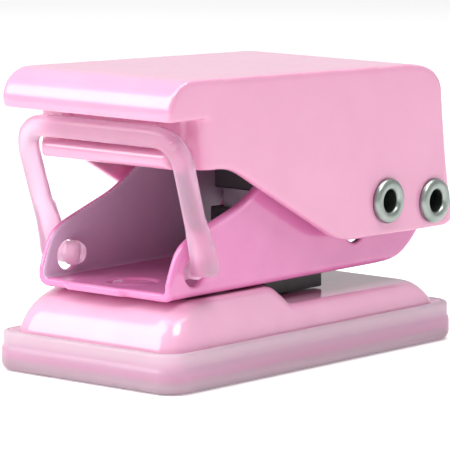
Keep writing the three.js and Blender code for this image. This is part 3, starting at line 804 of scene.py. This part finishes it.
def handle_piece():
    """The hollow shell with its narrow nose, the ribs under the lip and the ribs that press the lever."""
    half_width, lip_bottom, nose = HANDLE["half_width"], HANDLE["lip_bottom"], HANDLE["nose_half_width"]
    cheek_front, groove_floor = HANDLE["cheek_front"], HANDLE["groove_floor"]
    rib_half, rib_bottom, sunk = 1, 36, 0.5
    press_half, press_front, press_rear, press_bottom, press_top = 0.8, 5, 17, 38.9, 45
    solid = prism("handle_skin", handle_outline(), -half_width, half_width, HANDLE["edge"], 10)
    shell = fuse(solid, 0.3, 2)
    under_lip = bar("lip_tool", half_width=SIDE, front=-FAR, rear=groove_floor, bottom=22, top=lip_bottom)
    beside = [beside_nose(side) for side in (-1, 1)]
    rooms = [handle_room(nose - SHELL, -25.2), handle_room(half_width - SHELL, cheek_front + SHELL)]
    bores = [round_hole("bore_tool", centre, RIVET_BORE) for centre in (PIVOT, LEVER)]
    shell = cut(shell, *rooms, under_lip, *beside, *bores)
    extras = []
    for x in (-10, 0, 10):
        low = (x - rib_half, groove_floor - sunk, rib_bottom)
        high = (x + rib_half, groove_floor + sunk, lip_bottom + sunk)
        extras.append(block("rib", low, high))
    for x in (-6, 6):
        low = (x - press_half, press_front, press_bottom)
        high = (x + press_half, press_rear, press_top)
        extras.append(block("press_rib", low, high))
    return fuse(join(shell, *extras, under_lip_ledge()), 0.3, 6)


# ---- latch ------------------------------------------------------------------------------------

def loop_point(x, z):
    """A point on the leaning plane of the loop; the arms spread a little as they rise."""
    rise = (z - LATCH["z"]) / (LATCH["bar_z"] - LATCH["z"])
    return place(x + math.copysign(LATCH["splay"], x) * rise, LATCH["y"] + LATCH["lean"] * rise, z)


def loop_path():
    """Centre line: up one side, across the front of the handle and down the other side."""
    arm_x, low, high, bend = LATCH["arm_x"], LATCH["z"], LATCH["bar_z"], LATCH["bend"]
    points = [loop_point(arm_x, low + (high - bend - low) * i / 12) for i in range(12)]

    def corner(start, middle, end):
        for i in range(17):
            t = i / 16
            points.append(start * (1 - t) ** 2 + middle * 2 * t * (1 - t) + end * t * t)

    corner(loop_point(arm_x, high - bend), loop_point(arm_x, high), loop_point(arm_x - bend, high))
    points.extend(loop_point((arm_x - bend) * (1 - 2 * i / 14), high) for i in range(1, 14) if i != 7)
    corner(loop_point(-arm_x + bend, high), loop_point(-arm_x, high), loop_point(-arm_x, high - bend))
    points.extend(loop_point(-arm_x, high - bend - (high - bend - low) * i / 12) for i in range(1, 13))
    return points


def latch_foot(side):
    """The thicker end of one arm, rounded below and running up into the rod."""
    y, z, lean, half_foot = LATCH["y"], LATCH["z"], LATCH["lean"], LATCH["foot_half_depth"]
    bottom = LATCH["foot_bottom"]
    inner_face, outer_face = CHANNEL["half_width"] + GAP, LATCH["arm_x"] + LATCH["rod"] / 2
    x0, x1 = sorted((side * inner_face, side * outer_face))
    levels = (
        (bottom, half_foot - 0.9),
        (bottom + 0.3, half_foot - 0.3),
        (bottom + 0.9, half_foot),
        (z + 2, half_foot),
        (z + 5, half_foot - 0.3),
        (z + 8, LATCH["depth"] / 2),
    )
    bm = bmesh.new()
    rings = []
    for height, half in levels:
        middle = y + lean * max(0, height - z - 1) / (LATCH["bar_z"] - z)
        plan = rounded_rectangle(x0, middle - half, x1, middle + half, 1.1, 6)
        rings.append([place(u, v, height) for u, v in plan])
    skin(bm, rings)
    return mesh_piece("foot", bm)


def latch_peg(side):
    """The neck that turns in the wall's hole, and the head that snaps through behind it."""
    centre = (LATCH["y"], LATCH["z"])
    inner_face = CHANNEL["half_width"] + GAP
    wall_inside = CHANNEL["half_width"] - SHEET - GAP
    neck_radius, head_radius, sunk = 1.7, 2.0, 0.5
    neck = [(neck_radius, side * (wall_inside - sunk)), (neck_radius, side * (inner_face + sunk))]
    head = [(0.9, side * 9.9), (1.6, side * 10.05),
            (head_radius, side * (wall_inside - 1.0)), (head_radius, side * wall_inside)]
    return [lathe("neck", neck, centre, "x", 32), lathe("peg_head", head, centre, "x", 32)]


def latch_piece():
    """The rod, its two feet and pegs as one moulding, with the moulding's mark on one corner."""
    y, z, rod, depth = LATCH["y"], LATCH["z"], LATCH["rod"], LATCH["depth"]
    section = rounded_rectangle(-depth / 2, -rod / 2, depth / 2, rod / 2, 1.25, 6)
    loop = sweep("latch_rod", loop_path(), section, across=Vector((0, 1, 0)))
    parts = []
    for side in (-1, 1):
        parts += [latch_foot(side), *latch_peg(side)]
    loop = fuse(join(loop, *parts), 0.2, 5)
    mark_x, mark_z, mark_radius, mark_reach = 14.2, 37.4, 0.6, 2.15
    outward = Vector((0.65, -0.75, 0))
    mark_root = loop_point(mark_x, mark_z)
    mark_tip = mark_root + outward * mark_reach * MM
    mark = sweep("gate_mark", [mark_root, mark_tip], circle(mark_radius, 16), across=Vector((0, 0, 1)))
    slit_half, slit_reach = 0.35, 4
    slit_end, slit_root = 9, 12.5
    slits = [block("slit_tool", (x0, y - slit_half, z - slit_reach), (x1, y + slit_half, z + slit_reach))
             for x0, x1 in ((slit_end, slit_root), (-slit_root, -slit_end))]
    return fuse(join(cut(loop, *slits), mark), 0.18, 2)


# ---- rivets, cutter and small parts -----------------------------------------------------------

def tubular_rivet(name, centre):
    """Steel tube across the handle, rolled over at both ends."""
    bore, shank, flange, proud = 1.75, 2.5, 3.6, 0.95
    inner_roll, outer_roll = 0.75, 0.8
    seat = HANDLE["half_width"] + GAP / 2
    end = seat + proud
    half = []
    for i in range(9):
        turn = math.radians(90 * i / 8)
        radius = bore + inner_roll - inner_roll * math.cos(turn)
        half.append((radius, end - inner_roll + inner_roll * math.sin(turn)))
    for i in range(9):
        turn = math.radians(90 - 110 * i / 8)
        radius = flange - outer_roll + outer_roll * math.cos(turn)
        half.append((radius, end - outer_roll + outer_roll * math.sin(turn)))
    half += [(flange - 0.15, seat + 0.02), (shank, seat)]
    mirrored = [(radius, -x) for radius, x in reversed(half)]
    return lathe(name, [*half, *mirrored], centre, "x", 72, closed=True)


def spring_piece(name, side):
    """A coil between the blade guide's foot and the cutter's wing."""
    x, y = side * 7.8, 10.6
    radius, wire, turns = 1.9, 0.35, 5
    bottom, top = 16.5, 25.7
    steps = 40
    path = []
    for i in range(turns * steps + 1):
        angle = 2 * math.pi * i / steps
        height = bottom + wire + (top - bottom - 2 * wire) * i / (turns * steps)
        path.append(place(x + radius * math.cos(angle), y + radius * math.sin(angle), height))
    return sweep(name, path, circle(wire, 12), across=Vector((0, 0, 1)))


def head_piece():
    """Black cap on the blade, with the wings that the springs push up."""
    rear, bottom = 13.2, 26
    cap = bar("head_cap", half_width=4.9, front=1.7, rear=rear, bottom=bottom, top=34)
    wings = bar("wings", half_width=10.1, front=8, rear=rear, bottom=bottom, top=28)
    head = combine(cap, [wings], "UNION")
    return ease_edges(head, 0.35)


def guide_tower():
    """Black guide on the channel's floor, with the hole that keeps the blade upright."""
    front, rear, top = 1.2, 13, 23
    body = bar("tower", half_width=5.2, front=front, rear=rear, bottom=GUIDE_FOOT, top=top)
    feet = bar("feet", half_width=10.2, front=front, rear=rear, bottom=GUIDE_FOOT, top=16.2)
    tower = combine(body, [feet], "UNION")
    cut(tower, slab("hole_tool", blade_outline(GAP), 14, top + 1))
    return ease_edges(tower, 0.25)


def paper_stop():
    """Black plate under the channel: a square notch for the paper's corner, a well for the blade."""
    bottom, top = 10.2, 12.9
    below, above = 9, 14
    stop = slab("stop", rounded_rectangle(-8.6, -1.9, 8.6, 12.8, 0.8), bottom, top)
    notch = slab("notch_tool", [(0, 6), (7.8, 13.8), (-7.8, 13.8)], below, above)
    well = bar("well_tool", half_width=4.1, front=2.5, rear=10.1, bottom=below, top=above)
    cut(stop, notch, well)
    return ease_edges(stop, 0.15)


def painted_rivet(name, centre):
    """Rivet hammered into its hole in the table and painted over with it; its head is under the die."""
    centre_line, shank = 0.01, 1.0
    head_top, head_bottom = 6.3, 5.6
    profile = [
        (centre_line, TABLE_TOP), (shank, TABLE_TOP - 0.01), (shank, head_top), (1.8, head_top),
        (1.9, head_top - 0.1), (1.9, head_bottom + 0.1), (1.8, head_bottom), (centre_line, head_bottom),
    ]
    return lathe(f"{name}_painted", profile, centre, sides=32)


def sunk_rivet():
    """Rivet with its head sunk in the dish of the channel's floor and a flat tail under the base."""
    centre_line, top, bottom = 0.01, 14.0, 10.4
    profile = [
        (centre_line, top), (3.35, top), (3.5, 13.93), (2.1, 13.15), (2.0, 13.0), (2.0, 11.4),
        (3.1, 11.4), (3.2, 11.3), (3.2, 10.5), (3.1, bottom), (centre_line, bottom),
    ]
    return lathe("front_rivet_head", profile, FRONT_RIVET)


# ---- every piece on its body ------------------------------------------------------------------

# The pan and its rivets take a paler copy of the frame's pink paint: the paleness is a painted soft
# reflection.
reflection_pale_paint = painted_steel("reflection_pale_paint", (0.785, 0.40, 0.57), (0.815, 0.43, 0.60))
dress(tray_piece(), "frosted_plastic", "tray", "chip_tray", finish=tray_painted_light())
dress(pan_piece(), "pink_paint", "base", "base_pan", finish=reflection_pale_paint)
for node, spot in zip(("die_rivet_left", "die_rivet_right"), DIE_RIVETS):
    dress(painted_rivet(node, spot), "pink_paint", "base", node, finish=reflection_pale_paint)
frame_skin = dress(frame_piece(), "pink_paint", "base", "channel_frame")
# The walls' inner faces take painted shade.
paint_shade_inside(frame_skin)
dress(sunk_rivet(), "pink_paint", "base", "front_rivet")
dress(paper_stop(), "black_plastic", "base", "corner_guide")
dress(guide_tower(), "black_plastic", "base", "blade_guide")
dress(head_piece(), "black_plastic", "cutter", "cutter_head")
dress(handle_piece(), "pink_plastic", "handle", "handle_shell")
dress(tubular_rivet("pivot_rivet_tube", PIVOT), "bright_steel", "handle", "pivot_rivet")
dress(tubular_rivet("lever_rivet_tube", LEVER), "bright_steel", "handle", "lever_rivet")
dress(latch_piece(), "frosted_plastic", "latch", "latch_loop")
for side_name, side in (("left", -1), ("right", 1)):
    coil = spring_piece(f"spring_{side_name}", side)
    coil.data.materials.append(MATERIALS["bright_steel"])
    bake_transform(coil)
    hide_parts(f"return_spring_{side_name}")

# The rest keep their CAD shape and take a finished material.
node_slots = {row["node"]: row["material_slot"] for row in frame["record"]["subparts"]}
for node, cad_object in frame["nodes"].items():
    if not cad_object.hide_render:
        cad_object.data.materials.clear()
        cad_object.data.materials.append(MATERIALS[node_slots[node]])


# ---- floor, light and camera ------------------------------------------------------------------

def paper_floor():
    """White paper that glows faintly, so that it fades into the surroundings."""
    half = 3.0
    corners = ((-half, -half), (half, -half), (half, half), (-half, half))
    bm = bmesh.new()
    bm.faces.new([bm.verts.new((x, y, 0)) for x, y in corners])
    floor = mesh_piece("floor", bm)
    n = Nodes("floor_white")
    n.feed("Base Color", n.ramp(n.noise(3), (0.3, (0.93, 0.93, 0.93)), (0.7, (0.95, 0.95, 0.95))))
    n.feed("Roughness", n.spread(n.noise(6), 0.5, 0.6))
    n.set(Emission_Color=(1, 1, 1, 1), Emission_Strength=0.22)
    floor.data.materials.append(n.material)


def soft_light(name, position, size, power):
    """A rectangle of light turned to the object."""
    aim = (0, 0, 0.02)
    light = bpy.data.lights.new(name, "AREA")
    light.shape = "RECTANGLE"
    light.size, light.size_y = size
    light.energy = power
    lamp = bpy.data.objects.new(name, light)
    lamp.location = position
    lamp.rotation_euler = (Vector(aim) - Vector(position)).to_track_quat("-Z", "Y").to_euler()
    bpy.context.scene.collection.objects.link(lamp)


def studio():
    """White surroundings for the eye, dimmer ones in reflections and as fill, and three soft boxes."""
    in_reflections, as_fill, for_the_eye = 0.6, 0.2, 1.0
    world = bpy.data.worlds.new("studio")
    world.use_nodes = True
    tree = world.node_tree
    fill = tree.nodes["Background"]
    fill.inputs["Color"].default_value = (1, 1, 1, 1)
    fill.inputs["Strength"].default_value = as_fill
    backdrop = tree.nodes.new("ShaderNodeBackground")
    backdrop.inputs["Color"].default_value = (1, 1, 1, 1)
    backdrop.inputs["Strength"].default_value = for_the_eye
    path = tree.nodes.new("ShaderNodeLightPath")
    reflected = tree.nodes.new("ShaderNodeMath")
    reflected.operation = "MULTIPLY"
    reflected.inputs[1].default_value = in_reflections
    tree.links.new(path.outputs["Is Glossy Ray"], reflected.inputs[0])
    seen = tree.nodes.new("ShaderNodeMath")
    seen.operation = "MAXIMUM"
    tree.links.new(path.outputs["Is Camera Ray"], seen.inputs[0])
    tree.links.new(reflected.outputs[0], seen.inputs[1])
    mix = tree.nodes.new("ShaderNodeMixShader")
    tree.links.new(seen.outputs[0], mix.inputs["Fac"])
    tree.links.new(fill.outputs["Background"], mix.inputs[1])
    tree.links.new(backdrop.outputs["Background"], mix.inputs[2])
    tree.links.new(mix.outputs["Shader"], tree.nodes["World Output"].inputs["Surface"])
    bpy.context.scene.world = world
    soft_light("top", (0.0, 0.1, 0.8), (0.6, 0.6), 4.4)
    soft_light("left_front", (-0.34, -0.47, 0.50), (0.45, 0.8), 5.4)
    soft_light("right", (0.36, -0.2, 0.75), (0.3, 0.3), 3.0)


def camera():
    """Long lens, low and to the right of the latch end."""
    aim = Vector((-0.000205, -0.001610, 0.020643))
    azimuth, elevation, distance = math.radians(40.695), math.radians(8.251), 0.6095
    back = Vector((math.sin(azimuth) * math.cos(elevation), -math.cos(azimuth) * math.cos(elevation),
                   math.sin(elevation)))
    data = bpy.data.cameras.new("camera")
    data.sensor_width = 36.0
    data.lens = 308.87
    data.clip_end = 20.0
    eye = bpy.data.objects.new("camera", data)
    eye.location = aim + back * distance
    eye.rotation_euler = (-back).to_track_quat("-Z", "Y").to_euler()
    bpy.context.scene.collection.objects.link(eye)
    bpy.context.scene.camera = eye


paper_floor()
studio()
camera()
bpy.context.scene.view_settings.view_transform = "Standard"
